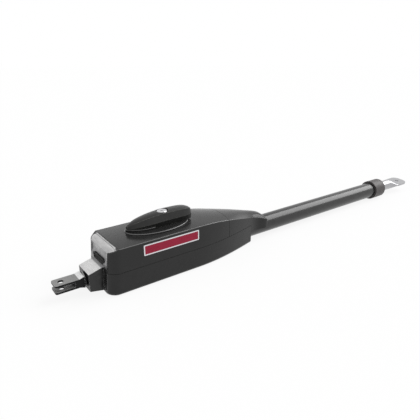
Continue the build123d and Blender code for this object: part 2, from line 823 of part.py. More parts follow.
# Motor: can with its front hole, end bell with two brush caps
can_inside = motor_radius - motor_can_wall
can = motor_rod(motor_can_start, chassis_rear, motor_radius)
can -= motor_rod(motor_can_start, chassis_rear - motor_can_wall, can_inside)
can -= motor_rod(0, far, motor_nose_hole)
for y in (-motor_screw_y, motor_screw_y):
    can -= rod_x(motor_can_start, chassis_rear, motor_screw_hole, y, motor_axis_z)
save("motor_can", can)
bell = motor_rod(motor_bell_start, motor_can_start, motor_radius)
bell = chamfer(bell.edges().group_by(Axis.X)[0], bell_edge)
bell -= motor_rod((motor_bell_start + motor_can_start) / 2, motor_can_start, motor_shaft_radius + running_fit)
brush_caps = []
for side in (-1, 1):
    cap_x = (motor_bell_start + motor_can_start) / 2
    cap_y = (side * (motor_radius - brush_cap_length), side * (motor_radius - brush_cap_sunk))
    cap = rod_y(cap_y[0], cap_y[1], brush_cap_radius, cap_x, motor_axis_z)
    bell -= cap
    brush_caps.append(cap)
save("motor_end_bell", bell)
save("brush_caps", Compound(children=brush_caps))

# Armature, two magnets, shaft and the screws that hold the can to the chassis
core_radius = can_inside - magnet_thickness - armature_gap / 2
core_start = motor_can_start + magnet_from_end + armature_gap
core_end = chassis_rear - magnet_from_end - armature_gap
core = motor_rod(core_start, core_end, core_radius)
core -= motor_rod(0, far, motor_shaft_radius)
slot_middle = core_radius - armature_slot_radius / 2
for k in range(armature_slot_count):
    angle = 2 * pi * k / armature_slot_count
    slot_y = slot_middle * cos(angle)
    slot_z = motor_axis_z + slot_middle * sin(angle)
    core -= rod_x(0, far, armature_slot_radius, slot_y, slot_z)
save("motor_armature", core)
magnets = []
for side in (-1, 1):
    ring = motor_rod(motor_can_start + magnet_from_end, chassis_rear - magnet_from_end, can_inside)
    ring -= motor_rod(0, far, can_inside - magnet_thickness)
    wedge_points = [(0, 0)]
    for share in (-0.5, 0, 0.5):
        angle = radians(90 * side + share * magnet_spread)
        wedge_points.append((3 * motor_radius * cos(angle), 3 * motor_radius * sin(angle)))
    wedge = across_x(0) * Pos(0, motor_axis_z) * make_face(Polyline(wedge_points, close=True))
    magnets.append(ring & extrude(wedge, amount=chassis_rear))
save("motor_magnets", Compound(children=magnets))
save("motor_shaft", motor_rod(motor_can_start - motor_shaft_in_bell, motor_shaft_end, motor_shaft_radius))
motor_screws = []
for y in (-motor_screw_y, motor_screw_y):
    screw = rod_x(chassis_rear - motor_can_wall, motor_plate_end, motor_screw_radius, y, motor_axis_z)
    head_end = motor_plate_end + motor_screw_head
    motor_screws.append(screw + rod_x(motor_plate_end, head_end, motor_screw_head_radius, y, motor_axis_z))
save("motor_screws", Compound(children=motor_screws))

# Gear train: motor pinion to idler wheel, idler pinion to output gear
to_idler = degrees(atan2(idler_z - motor_axis_z, idler_y))
from_idler = degrees(atan2(-idler_z, -idler_y))
wheel_tooth = to_idler + 180 + 180 / wheel_teeth
output_tooth = from_idler + 180 + 180 / output_teeth
wheel_end = wheel_start + wheel_thickness
pinion_x = (wheel_start - pinion_overhang, wheel_end + pinion_overhang)
pinion = involute_gear(pinion_teeth, pinion_x[0], pinion_x[1], 0, motor_axis_z, to_idler)
save("motor_pinion", pinion - motor_rod(0, far, motor_shaft_radius))
wheel = involute_gear(wheel_teeth, wheel_start, wheel_end, idler_y, idler_z, wheel_tooth)
save("idler_wheel", wheel - rod_x(0, far, idler_hub_radius, idler_y, idler_z))
idler_pinion = involute_gear(pinion_teeth, wheel_end, idler_pinion_end, idler_y, idler_z, from_idler)
idler_pinion += rod_x(wheel_start, wheel_end, idler_hub_radius, idler_y, idler_z)
save("idler_pinion", idler_pinion - rod_x(0, far, axle_radius + running_fit, idler_y, idler_z))
axle = rod_x(chassis_rear, axle_end, axle_radius, idler_y, idler_z)
clip_start = idler_pinion_end + clip_play
clip_end = clip_start + axle_clip_thickness
clip = rod_x(clip_start, clip_end, axle_radius + clip_rim, idler_y, idler_z)
clip -= rod_x(clip_start, clip_end, axle_radius - clip_groove_depth, idler_y, idler_z)
save("idler_axle", axle - clip)
clip -= block(clip_start, clip_end, idler_y - clip_slot / 2, idler_y + clip_slot / 2, idler_z, far)
save("idler_clip", clip)

dog_place = output_start + output_thickness


def dogs(x0, x1, first_angle):
    """The clutch teeth on a face, spread evenly from a first angle."""
    result = []
    for k in range(dog_count):
        middle = first_angle + 360 * k / dog_count
        corners = []
        for radius, turns in ((dog_inner_radius, (-1, 0, 1)), (dog_outer_radius, (1, 0, -1))):
            for turn in turns:
                angle = radians(middle + turn * dog_angle / 2)
                corners.append((radius * cos(angle), radius * sin(angle)))
        a, b, c, d, e, f = corners
        face = make_face([ThreePointArc(a, b, c), Line(c, d), ThreePointArc(d, e, f), Line(f, a)])
        result.append(extrude(across_x(x0) * face, amount=x1 - x0))
    return result


output = involute_gear(output_teeth, output_start, dog_place, 0, 0, output_tooth)
for dog in dogs(dog_place, dog_place + dog_height, 0):
    output += dog
save("output_gear", output - rod_x(0, far, screw_journal_radius + running_fit))

# Dog sleeve and shift fork of the manual release
sleeve_start = dog_place + sleeve_gap
sleeve_end = sleeve_start + sleeve_length
sleeve = rod_x(sleeve_start + dog_height, sleeve_end, sleeve_radius)
for dog in dogs(sleeve_start, sleeve_start + dog_height + dog_root, 180 / dog_count):
    sleeve += dog
groove_start = lever_pivot_x - eccentric_throw - sleeve_groove_width / 2
groove_end = groove_start + sleeve_groove_width
sleeve_groove = rod_x(groove_start, groove_end, sleeve_radius + 1)
sleeve -= sleeve_groove - rod_x(groove_start, groove_end, sleeve_groove_radius)
save("dog_sleeve", sleeve - hex_x(sleeve_start - 1, sleeve_end + 1, screw_hex_across + 2 * running_fit))

# Shift fork: a yoke in the sleeve's groove, a boss on the guide rod and a slot for the eccentric pin
fork_middle = (groove_start + groove_end) / 2
yoke_x = (fork_middle - shift_fork_thickness / 2, fork_middle + shift_fork_thickness / 2)
yoke_inner = sleeve_groove_radius + yoke_clearance
yoke_outer = sleeve_radius + yoke_rim
shift = rod_x(yoke_x[0], yoke_x[1], yoke_outer) - rod_x(yoke_x[0], yoke_x[1], yoke_inner)
shift -= block(yoke_x[0], yoke_x[1], -yoke_inner, yoke_inner, -far, 0)
arm_top = eccentric_pin_bottom + slot_plate_height
arm_foot = yoke_inner + yoke_root
shift += block(yoke_x[0], yoke_x[1], -arm_half_width, arm_half_width, arm_foot, arm_top)
plate_half = arm_half_width + 1
plate_x = (fork_middle - slot_plate_half, fork_middle + slot_plate_half)
shift += block(plate_x[0], plate_x[1], -plate_half, plate_half, eccentric_pin_bottom, arm_top)
slot_half = eccentric_pin_radius + pin_slot_clearance
slot_x = (fork_middle - slot_half, fork_middle + slot_half)
slot_reach = eccentric_throw + eccentric_pin_radius + pin_slot_end_clearance
shift -= block(slot_x[0], slot_x[1], -slot_reach, slot_reach, eccentric_pin_bottom - 1, arm_top)
boss_x = (fork_middle - rod_boss_half, fork_middle + rod_boss_half)
shift += rod_x(boss_x[0], boss_x[1], rod_boss_radius, guide_rod_y, guide_rod_z)
link_z = (guide_rod_z - rod_boss_radius + 1, guide_rod_z + rod_boss_radius - 1)
shift += block(yoke_x[0], yoke_x[1], guide_rod_y, -arm_foot, link_z[0], link_z[1])
shift -= rod_x(0, far, guide_rod_radius + running_fit, guide_rod_y, guide_rod_z)
save("shift_fork", shift)

# Lead screw with its gear journal, hex, bearing seats and thread
thread_start = bore_end
screw = rod_x(screw_start, dog_place + 1, screw_journal_radius)
screw += hex_x(dog_place, bearing_plate_start + 1, screw_hex_across)
screw += rod_x(bearing_plate_start, thread_start, screw_bearing_radius)
screw += rod_x(thread_start, tip_guide_start, screw_radius)
screw += rod_x(tip_guide_start, screw_end, screw_tip_radius)
ring_start = screw_start + ring_from_end
ring_end = ring_start + axle_clip_thickness
ring = rod_x(ring_start, ring_end, screw_journal_radius + clip_rim)
ring -= rod_x(ring_start, ring_end, screw_journal_radius - clip_groove_depth)
save("lead_screw", screw - ring)
ring -= block(ring_start, ring_end, -clip_slot / 2, clip_slot / 2, 0, far)
save("gear_retaining_ring", ring)

# Nylon guide on the screw's tip, which slides inside the ram
ram_bore = ram_radius - ram_wall
tip_guide = rod_x(tip_guide_start, tip_guide_start + tip_guide_thickness, ram_bore - tip_guide_clearance)
save("screw_tip_guide", tip_guide - rod_x(0, far, screw_tip_radius))

# Outer tube, front cap, guide bush and wiper seal
outer_tube = rod_x(tube_start, tube_end, tube_radius) - rod_x(tube_start, tube_end, tube_bore)
outer_tube -= Compound(children=tube_pins)
save("outer_tube", outer_tube)
save("tube_pins", Compound(children=tube_pins))
cap = rod_x(cap_start, cap_end, cap_radius)
cap = chamfer(cap.edges().group_by(Axis.X)[-1], cap_front_chamfer)
cap -= rod_x(cap_start, cap_inner_step, tube_radius)
cap -= rod_x(cap_inner_step, cap_end, ram_radius + cap_clearance)
cap -= rod_x(seal_start, seal_end, seal_outer_radius)
save("front_cap", cap)
ram_passage = rod_x(0, far, ram_radius + ram_guide_fit)
save("wiper_seal", rod_x(seal_start, seal_end, seal_outer_radius) - ram_passage)
save("guide_bush", rod_x(bush_start, tube_end, tube_bore) - ram_passage)

# Ram tube: round, then pressed flat for the eye, and the nut that drives it
flat_half = ram_flat_thickness / 2


def ram_profile(x, half_width, half_height):
    """The ram's section, from round to flat."""
    round_end = 0.98 * min(half_height, half_width)
    return across_x(x) * RectangleRounded(2 * half_width, 2 * half_height, round_end)


press_length = ram_flat_start - ram_flatten_start
stations = []
press_steps = 5
for i in range(press_steps + 1):
    share = i / press_steps
    blend = 3 * share**2 - 2 * share**3
    half_width = ram_radius + (ram_flat_half_width - ram_radius) * blend
    half_height = ram_radius + (flat_half - ram_radius) * blend
    stations.append(ram_profile(ram_flatten_start + press_length * share, half_width, half_height))
pressed = loft(stations)
flat = block(ram_flat_start, ram_tip, -ram_flat_half_width, ram_flat_half_width, -flat_half, flat_half)
flat = fillet(flat.edges().filter_by(Axis.Z).group_by(Axis.X)[-1], ram_tip_corner)
ram = rod_x(ram_start, ram_flatten_start, ram_radius)
ram -= rod_x(ram_start, ram_flatten_start - ram_solid_plug, ram_bore)
ram += pressed
ram += flat
ram -= rod_z(-far, far, pin_hole_radius, ram_eye_x)
save("ram_tube", Rot(ram_roll, 0, 0) * ram)
nut = rod_x(nut_start, nut_end, nut_radius)
nut += rod_x(nut_end, nut_end + nut_neck_length, ram_bore - running_fit)
nut -= rod_x(0, far, screw_radius + running_fit)
save("ram_nut", nut)

# Release lever: a boat-shaped handle with a lock in its top
def lever_section(x, half_width, ridge_half, ridge, crest):
    """The lever's section: upright side, slanted shoulder and a crowned top."""
    place = across_x(x)
    foot = lever_bottom
    belly = foot + (ridge - foot) * 0.45
    outline = [
        Line((-half_width * 0.9, foot), (half_width * 0.9, foot)),
        Line((half_width * 0.9, foot), (half_width, belly)),
        Line((half_width, belly), (ridge_half, ridge)),
        ThreePointArc((ridge_half, ridge), (0, crest), (-ridge_half, ridge)),
        Line((-ridge_half, ridge), (-half_width, belly)),
        Line((-half_width, belly), (-half_width * 0.9, foot)),
    ]
    return place * make_face(Wire(outline))


lever_stations = (
    (lever_tip_x, 3.5, 2.5, 82.0, 82.6),
    (lever_tip_x + 10, 10.0, 7.0, 86.5, 88.2),
    (lever_tip_x + 30, 16.5, 11.5, 91.5, 94.3),
    (lever_tip_x + 55, 19.6, 13.5, 95.2, 98.3),
    (lever_lock_x, lever_half_width, 14.5, 97.0, lever_top),
    (lever_pivot_x, lever_half_width, 15.0, 97.0, 99.8),
    (lever_end_x - 14, 18.5, 14.0, 96.0, 98.2),
    (lever_end_x, 12.0, 9.0, 92.5, 93.8),
)
lever = loft([lever_section(*station) for station in lever_stations], ruled=False)
over_pad = block(0, far, -far, far, 0, lever_over_pad)
lever -= over_pad - rod_z(0, lever_over_pad, lever_deep_radius, lever_pivot_x)
lever -= rod_z(lock_floor, far, lock_bezel_radius, lever_lock_x)
lever -= rod_z(0, far, lock_tail_radius + running_fit, lever_lock_x)
cam_top = lock_cam_bottom + lock_cam_thickness
lever -= rod_z(0, cam_top + cam_clearance, cam_reach + 2 * cam_clearance, lever_lock_x)
lever -= rod_z(0, hub_top, lever_shaft_radius, lever_pivot_x)
save("release_lever", lever)

# Shaft of the lever with its collar under the cover and the eccentric pin at its foot
shaft = rod_z(lever_shaft_bottom, hub_top, lever_shaft_radius, lever_pivot_x)
collar_top = shaft_boss_bottom - collar_play
shaft += rod_z(collar_top - lever_collar_height, collar_top, lever_collar_radius, lever_pivot_x)
eccentric_x = lever_pivot_x - eccentric_throw
shaft += rod_z(eccentric_pin_bottom, lever_shaft_bottom, eccentric_pin_radius, eccentric_x)
save("lever_shaft", shaft)

# Lock: bezel, cylinder with its key slot, and the cam below
bezel = rod_z(lock_floor, lock_face - bezel_sunk, lock_bezel_radius, lever_lock_x)
save("lock_bezel", bezel - rod_z(0, far, lock_radius + running_fit, lever_lock_x))
barrel = rod_z(lock_floor + running_fit, lock_face, lock_radius, lever_lock_x)
barrel = chamfer(barrel.edges().group_by(Axis.Z)[-1], lock_edge)
key_hole = Box(key_slot_length, key_slot_width, 2 * key_slot_depth)
key_hole += Cylinder(key_slot_width, 2 * key_slot_depth)
barrel -= Pos(lever_lock_x, 0, lock_face) * key_hole
barrel += rod_z(cam_top, lock_floor + 1, lock_tail_radius, lever_lock_x)
save("lock_cylinder", barrel)
cam_slot = SlotOverall(cam_reach + cam_half_width, 2 * cam_half_width)
cam_outline = Pos(cam_reach / 2 - cam_half_width / 2, 0) * cam_slot
save("lock_cam", Pos(lever_lock_x, 0, lock_cam_bottom) * extrude(cam_outline, amount=lock_cam_thickness))

# Terminal board under the motor, on four posts
board_top = board_bottom + board_thickness
board = block(board_start, board_end, -board_half_width, board_half_width, board_bottom, board_top)
board_screws = []
for x, y in post_places:
    board -= rod_z(board_bottom, board_top, board_hole, x, y)
    screw = rod_z(board_bottom - board_screw_depth, board_top, board_screw_radius, x, y)
    board_screws.append(screw + rod_z(board_top, board_top + board_screw_head, board_screw_head_radius, x, y))
save("terminal_board", board)
save("board_screws", Compound(children=board_screws))

# Terminal blocks, relay and capacitor on the board
terminals = []
terminal_y = -board_half_width + terminal_from_edge
for k in range(terminal_count):
    x0 = board_start + terminal_from_end + terminal_pitch * k
    x1 = x0 + terminal_width
    body = block(x0, x1, terminal_y, terminal_y + terminal_depth, board_top, board_top + terminal_height)
    well_y = terminal_y + terminal_depth / 2
    well = rod_z(board_top + terminal_height / 2, far, terminal_well_radius, (x0 + x1) / 2, well_y)
    terminals.append(body - well)
save("terminal_blocks", Compound(children=terminals))
relay_x = board_start + relay_from_end
relay_top = board_top + relay_height
save("relay", block(relay_x, relay_x + relay_length, relay_y, relay_y + relay_width, board_top, relay_top))
capacitor_x = board_start + capacitor_from_end
save("capacitor", rod_z(board_top, board_top + capacitor_height, capacitor_radius, capacitor_x, capacitor_y))
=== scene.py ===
import math

import bmesh
import bpy
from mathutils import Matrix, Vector


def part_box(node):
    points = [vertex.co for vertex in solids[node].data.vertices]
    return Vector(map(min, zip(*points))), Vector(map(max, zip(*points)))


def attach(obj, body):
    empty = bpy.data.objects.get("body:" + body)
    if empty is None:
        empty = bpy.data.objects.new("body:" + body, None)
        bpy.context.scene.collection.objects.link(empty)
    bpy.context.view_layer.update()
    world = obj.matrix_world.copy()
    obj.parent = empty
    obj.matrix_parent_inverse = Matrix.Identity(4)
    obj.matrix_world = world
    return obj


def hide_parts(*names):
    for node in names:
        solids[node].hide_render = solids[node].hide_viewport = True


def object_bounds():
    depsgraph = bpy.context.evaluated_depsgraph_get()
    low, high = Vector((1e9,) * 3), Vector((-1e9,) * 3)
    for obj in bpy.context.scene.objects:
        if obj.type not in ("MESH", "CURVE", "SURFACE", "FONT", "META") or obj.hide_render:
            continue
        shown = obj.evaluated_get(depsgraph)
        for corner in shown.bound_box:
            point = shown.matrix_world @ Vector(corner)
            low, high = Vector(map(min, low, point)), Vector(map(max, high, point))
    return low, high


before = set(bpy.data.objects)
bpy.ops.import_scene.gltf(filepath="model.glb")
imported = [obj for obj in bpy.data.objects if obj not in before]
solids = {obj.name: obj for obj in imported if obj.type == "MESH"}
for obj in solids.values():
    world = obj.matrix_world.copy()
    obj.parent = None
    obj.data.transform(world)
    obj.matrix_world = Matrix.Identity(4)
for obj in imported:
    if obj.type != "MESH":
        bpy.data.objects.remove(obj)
solid_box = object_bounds()
mm = 0.001

# Camera: stands beside the fork end, higher than the opener, and looks along the ram towards the
# gate end. Its place was worked out from the straight edges of the opener.
camera = bpy.data.objects.new("camera", bpy.data.cameras.new("camera"))
bpy.context.scene.collection.objects.link(camera)
bpy.context.scene.camera = camera
camera.location = (-166.2 * mm, -677.9 * mm, 386.8 * mm)
camera.rotation_euler = (math.radians(69.59), 0, math.radians(-36.74))
camera.data.lens = 34.57
camera.data.sensor_width = 36

# Studio: a pale floor that meets the underside of the body, one broad soft lamp beyond the gate
# end, which leaves the near side in the shade, and an even white room.
bpy.context.scene.view_settings.view_transform = "Standard"
floor_reach = 30.0
floor_gap = 0.05 * mm
floor_z = solid_box[0].z - floor_gap
floor_mesh = bpy.data.meshes.new("floor")
floor_corners = ((-1, -1), (1, -1), (1, 1), (-1, 1))
floor_mesh.from_pydata(
    [(x * floor_reach, y * floor_reach, floor_z) for x, y in floor_corners], [], [(0, 1, 2, 3)]
)
floor = bpy.data.objects.new("floor", floor_mesh)
bpy.context.scene.collection.objects.link(floor)


def seen_as_background(tree):
    """One for rays from the camera, from gloss and through glass, which see the white room."""
    path = tree.nodes.new("ShaderNodeLightPath")
    total = path.outputs["Is Camera Ray"]
    for ray in ("Is Glossy Ray", "Is Transmission Ray"):
        either = tree.nodes.new("ShaderNodeMath")
        either.operation = "MAXIMUM"
        tree.links.new(total, either.inputs[0])
        tree.links.new(path.outputs[ray], either.inputs[1])
        total = either.outputs[0]
    return total


floor_colour = (0.9, 0.9, 0.9)
floor_white_level = 1.02
floor_white_share = 0.86
floor_paint = bpy.data.materials.new("floor_paint")
floor_paint.use_nodes = True
tree = floor_paint.node_tree
tree.nodes.remove(tree.nodes["Principled BSDF"])
floor_diffuse = tree.nodes.new("ShaderNodeBsdfDiffuse")
floor_diffuse.inputs["Color"].default_value = (*floor_colour, 1)
floor_white = tree.nodes.new("ShaderNodeEmission")
floor_white.inputs["Strength"].default_value = floor_white_level
floor_share = tree.nodes.new("ShaderNodeMath")
floor_share.operation = "MULTIPLY"
floor_share.inputs[1].default_value = floor_white_share
floor_mix = tree.nodes.new("ShaderNodeMixShader")
tree.links.new(seen_as_background(tree), floor_share.inputs[0])
tree.links.new(floor_share.outputs[0], floor_mix.inputs["Fac"])
tree.links.new(floor_diffuse.outputs[0], floor_mix.inputs[1])
tree.links.new(floor_white.outputs[0], floor_mix.inputs[2])
tree.links.new(floor_mix.outputs[0], tree.nodes["Material Output"].inputs["Surface"])
floor_mesh.materials.append(floor_paint)

room_light_level = 0.55
room_white_level = 1.0
room = bpy.data.worlds.new("room")
room.use_nodes = True
bpy.context.scene.world = room
tree = room.node_tree
room_light = tree.nodes["Background"]
room_light.inputs["Color"].default_value = (1, 1, 1, 1)
room_level = tree.nodes.new("ShaderNodeMapRange")
room_level.inputs["To Min"].default_value = room_light_level
room_level.inputs["To Max"].default_value = room_white_level
tree.links.new(seen_as_background(tree), room_level.inputs["Value"])
tree.links.new(room_level.outputs["Result"], room_light.inputs["Strength"])

lamp_strength = 1.9
lamp_breadth = 44
lamp_direction = Vector((0.68, -0.18, 0.62))
lamp = bpy.data.objects.new("lamp", bpy.data.lights.new("lamp", "SUN"))
bpy.context.scene.collection.objects.link(lamp)
lamp.data.energy = lamp_strength
lamp.data.angle = math.radians(lamp_breadth)
lamp.rotation_euler = lamp_direction.to_track_quat("Z", "Y").to_euler()

# Rear fork: a forged steel clevis with the pin hole through both ears. Its flats on top are zinc
# plated, the slope down to the ears gets a painted highlight, and the sides get painted shade in
# near black. A bolt from inside the casting holds it, with a washer and a rubber ring between.


def new_finish(name, colour, roughness, metal=0.0, specular=0.5):
    """A finish with a single shader, in one plain colour until a pattern is put on it."""
    finish = bpy.data.materials.new(name)
    finish.use_nodes = True
    shader = finish.node_tree.nodes["Principled BSDF"]
    shader.inputs["Base Color"].default_value = (*colour, 1)
    shader.inputs["Roughness"].default_value = roughness
    shader.inputs["Metallic"].default_value = metal
    shader.inputs["Specular IOR Level"].default_value = specular
    return finish


def shader_of(finish):
    """The one shader of a finish, whose sockets carry its look."""
    return finish.node_tree.nodes["Principled BSDF"]


def marks(finish, size, stretch=(1, 1, 1), detail=3.0):
    """Cloudy marks of a size in millimetres, drawn out along X, Y or Z by the stretch."""
    tree = finish.node_tree
    place = tree.nodes.new("ShaderNodeTexCoord")
    lay = tree.nodes.new("ShaderNodeMapping")
    lay.inputs["Scale"].default_value = [1 / (size * mm * longer) for longer in stretch]
    cloud = tree.nodes.new("ShaderNodeTexNoise")
    cloud.inputs["Scale"].default_value = 1
    cloud.inputs["Detail"].default_value = detail
    tree.links.new(place.outputs["Object"], lay.inputs["Vector"])
    tree.links.new(lay.outputs["Vector"], cloud.inputs["Vector"])
    return cloud.outputs["Fac"]


def spread(finish, value, low, high, start=0.35, end=0.65):
    """Brings a pattern to a range of values, from where it starts to where it ends."""
    reach = finish.node_tree.nodes.new("ShaderNodeMapRange")
    for socket, number in (("From Min", start), ("From Max", end), ("To Min", low), ("To Max", high)):
        reach.inputs[socket].default_value = number
    finish.node_tree.links.new(value, reach.inputs["Value"])
    return reach.outputs["Result"]


def product(finish, first, second):
    """One share times another."""
    times = finish.node_tree.nodes.new("ShaderNodeMath")
    times.operation = "MULTIPLY"
    finish.node_tree.links.new(first, times.inputs[0])
    finish.node_tree.links.new(second, times.inputs[1])
    return times.outputs[0]


def ramp(finish, kind, letter, start, end, low=0.0, high=1.0):
    """Runs from low to high between two places along an axis, in metres, or two tilts of the face."""
    place = finish.node_tree.nodes.new("ShaderNodeTexCoord")
    parts = finish.node_tree.nodes.new("ShaderNodeSeparateXYZ")
    finish.node_tree.links.new(place.outputs[kind], parts.inputs[0])
    return spread(finish, parts.outputs[letter], low, high, start, end)


def tint(finish, share, colour):
    """Lays a second colour over the finish where the share is high."""
    tree = finish.node_tree
    base = shader_of(finish).inputs["Base Color"]
    mix = tree.nodes.new("ShaderNodeMix")
    mix.data_type = "RGBA"
    mix.inputs["A"].default_value = base.default_value
    if base.is_linked:
        tree.links.new(base.links[0].from_socket, mix.inputs["A"])
    mix.inputs["B"].default_value = (*colour, 1)
    tree.links.new(share, mix.inputs["Factor"])
    tree.links.new(mix.outputs["Result"], base)


def mottle(finish, size, share, colour, stretch=(1, 1, 1)):
    """Clouds of a second colour, which cover the finish up to a share."""
    tint(finish, spread(finish, marks(finish, size, stretch), 0.0, share), colour)


def polish(finish, size, low, high):
    """Lets the roughness wander between two values, in clouds of a size in millimetres."""
    wander = spread(finish, marks(finish, size), low, high)
    finish.node_tree.links.new(wander, shader_of(finish).inputs["Roughness"])


def emboss(finish, size, depth, strength, stretch=(1, 1, 1), detail=3.0):
    """Raises and sinks the surface by a depth, in grains of a size, both in millimetres."""
    tree = finish.node_tree
    normal = shader_of(finish).inputs["Normal"]
    bump = tree.nodes.new("ShaderNodeBump")
    bump.inputs["Distance"].default_value = depth * mm
    bump.inputs["Strength"].default_value = strength
    if normal.is_linked:
        tree.links.new(normal.links[0].from_socket, bump.inputs["Normal"])
    tree.links.new(marks(finish, size, stretch, detail), bump.inputs["Height"])
    tree.links.new(bump.outputs["Normal"], normal)


def rubbed_and_lit_edges(finish, width, colour, share, turned=0.75, flat=0.97):
    """Brightens the edges to a width in millimetres, in patches: partly wear where handling rubs them,
    partly a painted highlight.
    """
    tree = finish.node_tree
    patch_size = 4 * width
    least_patch = 0.2
    rounded = tree.nodes.new("ShaderNodeBevel")
    rounded.samples = 4
    rounded.inputs["Radius"].default_value = width * mm
    facing = tree.nodes.new("ShaderNodeNewGeometry")
    turn = tree.nodes.new("ShaderNodeVectorMath")
    turn.operation = "DOT_PRODUCT"
    tree.links.new(rounded.outputs["Normal"], turn.inputs[0])
    tree.links.new(facing.outputs["Normal"], turn.inputs[1])
    edge = spread(finish, turn.outputs["Value"], share, 0.0, turned, flat)
    patch = spread(finish, marks(finish, patch_size), least_patch, 1.0)
    tint(finish, product(finish, edge, patch), colour)


def shade_below_top(finish, colour, top=None):
    """Paints shade in a dark colour on every face that doesn't look up, below a height in millimetres."""
    shaded_metal = 0.1
    blur = 0.1
    share = ramp(finish, "Normal", "Z", start=0.55, end=0.6, low=1.0, high=0.0)
    if top is not None:
        below = ramp(finish, "Object", "Z", (top - blur) * mm, (top + blur) * mm, low=1.0, high=0.0)
        share = product(finish, share, below)
    tint(finish, share, colour)
    metal = shader_of(finish).inputs["Metallic"]
    finish.node_tree.links.new(spread(finish, share, metal.default_value, shaded_metal, 0.0, 1.0), metal)


def dress(finish, slot, *names):
    """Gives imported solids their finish."""
    for name in names:
        solid = solids[name]
        solid.data.materials.clear()
        solid.data.materials.append(finish)


zinc_plate = new_finish("zinc_plate", colour=(0.29, 0.29, 0.285), roughness=0.38, metal=0.35, specular=0.2)
mottle(zinc_plate, size=9.0, share=0.5, colour=(0.34, 0.34, 0.335))
mottle(zinc_plate, size=1.6, share=0.35, colour=(0.2, 0.2, 0.2))
polish(zinc_plate, size=5.0, low=0.34, high=0.52)
emboss(zinc_plate, size=0.5, depth=0.03, strength=0.6)
emboss(zinc_plate, size=6.0, depth=0.12, strength=0.5)
# Painted highlight: faces that look up and back, on the slope down to the ears, are tinted near white.
looks_up = ramp(zinc_plate, "Normal", "Z", start=0.5, end=0.6)
looks_back = ramp(zinc_plate, "Normal", "X", start=-0.3, end=-0.15, low=1.0, high=0.0)
highlit_slope = product(zinc_plate, looks_up, looks_back)
# Painted shade: every face of the fork that doesn't look up is darkened to near black.
fork_side_shade = (0.006, 0.006, 0.006)
shade_below_top(zinc_plate, fork_side_shade)
highlight_white = (0.92, 0.92, 0.92)
tint(zinc_plate, highlit_slope, highlight_white)
rubbed_and_lit_edges(zinc_plate, width=0.7, colour=(0.75, 0.76, 0.77), share=1.0)
dress(zinc_plate, "zinc_steel", "rear_fork", "fork_washer", "fork_bolt")

# Rubber ring between the washer and the casting, and the seals: black moulded rubber. One runs
# along the joint of the covers and one wipes the ram.
seal_rubber = new_finish("seal_rubber", colour=(0.008, 0.008, 0.008), roughness=0.75, specular=0.3)
mottle(seal_rubber, size=3.0, share=0.5, colour=(0.014, 0.014, 0.014))
polish(seal_rubber, size=2.0, low=0.66, high=0.82)
emboss(seal_rubber, size=0.4, depth=0.03, strength=0.5)
dress(seal_rubber, "black_rubber", "fork_spacer_ring", "cover_seal", "wiper_seal")

# End casting: die cast aluminium that closes the back of the body and carries the fork. Its domed
# shell and the top of its block are brushed bright. The shell gets painted shade towards the foot,
# and the sides lower down get painted shade in near black.
bright_casting = new_finish("bright_casting", colour=(0.74, 0.735, 0.73), roughness=0.24, metal=0.8)
mottle(bright_casting, size=14.0, share=0.5, colour=(0.8, 0.795, 0.79))
mottle(bright_casting, size=6.0, share=0.35, colour=(0.36, 0.36, 0.37), stretch=(1, 5, 1))
mottle(bright_casting, size=1.2, share=0.2, colour=(0.4, 0.4, 0.41))
polish(bright_casting, size=7.0, low=0.26, high=0.42)
emboss(bright_casting, size=0.45, depth=0.02, strength=0.5)
emboss(bright_casting, size=5.0, depth=0.1, strength=0.35)
shell_start = 70.0
shell_blur = 2.0
# Painted shade over the lower part of the shell, darkest above the recess and fading out upwards.
shade_low = 36.0
shade_high = 78.0
shade_share = 0.8
shade_grey = (0.12, 0.12, 0.125)
shaded_low = ramp(bright_casting, "Object", "Z", shade_low * mm, shade_high * mm, low=shade_share, high=0.0)
on_shell = ramp(bright_casting, "Object", "X", (shell_start - shell_blur) * mm, shell_start * mm)
tint(bright_casting, product(bright_casting, shaded_low, on_shell), shade_grey)
# Painted shade: the casting's faces that don't look up, below the top of the block, are darkened.
shade_top = 25.0
casting_side_shade = (0.012, 0.012, 0.012)
shade_below_top(bright_casting, casting_side_shade, shade_top)
rubbed_and_lit_edges(bright_casting, width=0.8, colour=(0.95, 0.95, 0.95), share=0.9)
dress(bright_casting, "cast_aluminium", "end_casting")

# Cable grommet: a black rubber plug in the recess above the block. A flange and a rounded rim stand
# round a sunk membrane with three thin spots, which are cut open for the cables.
soft_rubber = new_finish("soft_rubber", colour=(0.02, 0.02, 0.02), roughness=0.7, specular=0.35)
mottle(soft_rubber, size=3.0, share=0.5, colour=(0.035, 0.034, 0.033))
polish(soft_rubber, size=2.0, low=0.6, high=0.8)
emboss(soft_rubber, size=0.4, depth=0.03, strength=0.6)
grommet_low, grommet_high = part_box("cable_grommet")


def surface(name, loops, finish):
    """A closed skin over a row of loops with like numbers of points, each joined to the next."""
    mesh = bmesh.new()
    rows = [[mesh.verts.new(point) for point in loop] for loop in loops]
    for before, after in zip(rows, rows[1:]):
        for k in range(len(before)):
            following = (k + 1) % len(before)
            mesh.faces.new((before[k], before[following], after[following], after[k]))
    mesh.faces.new(rows[0])
    mesh.faces.new(rows[-1])
    bmesh.ops.recalc_face_normals(mesh, faces=mesh.faces)
    data = bpy.data.meshes.new(name)
    mesh.to_mesh(data)
    mesh.free()
    data.materials.append(finish)
    for face in data.polygons:
        face.use_smooth = len(face.vertices) == 4
    piece = bpy.data.objects.new(name, data)
    bpy.context.scene.collection.objects.link(piece)
    return piece


grommet_z = (grommet_low.z + grommet_high.z) / 2
slot_points = 40


def slot_loop(x, inset):
    """A loop round the grommet's slot at a place along X, set in from its edge."""
    radius = (grommet_high.z - grommet_low.z) / 2 - inset
    straight = (grommet_high.y - grommet_low.y) / 2 - inset - radius
    loop = []
    for k in range(slot_points):
        angle = 2 * math.pi * (k + 0.5) / slot_points
        side = straight if math.cos(angle) > 0 else -straight
        loop.append((x, side + radius * math.cos(angle), grommet_z + radius * math.sin(angle)))
    return loop


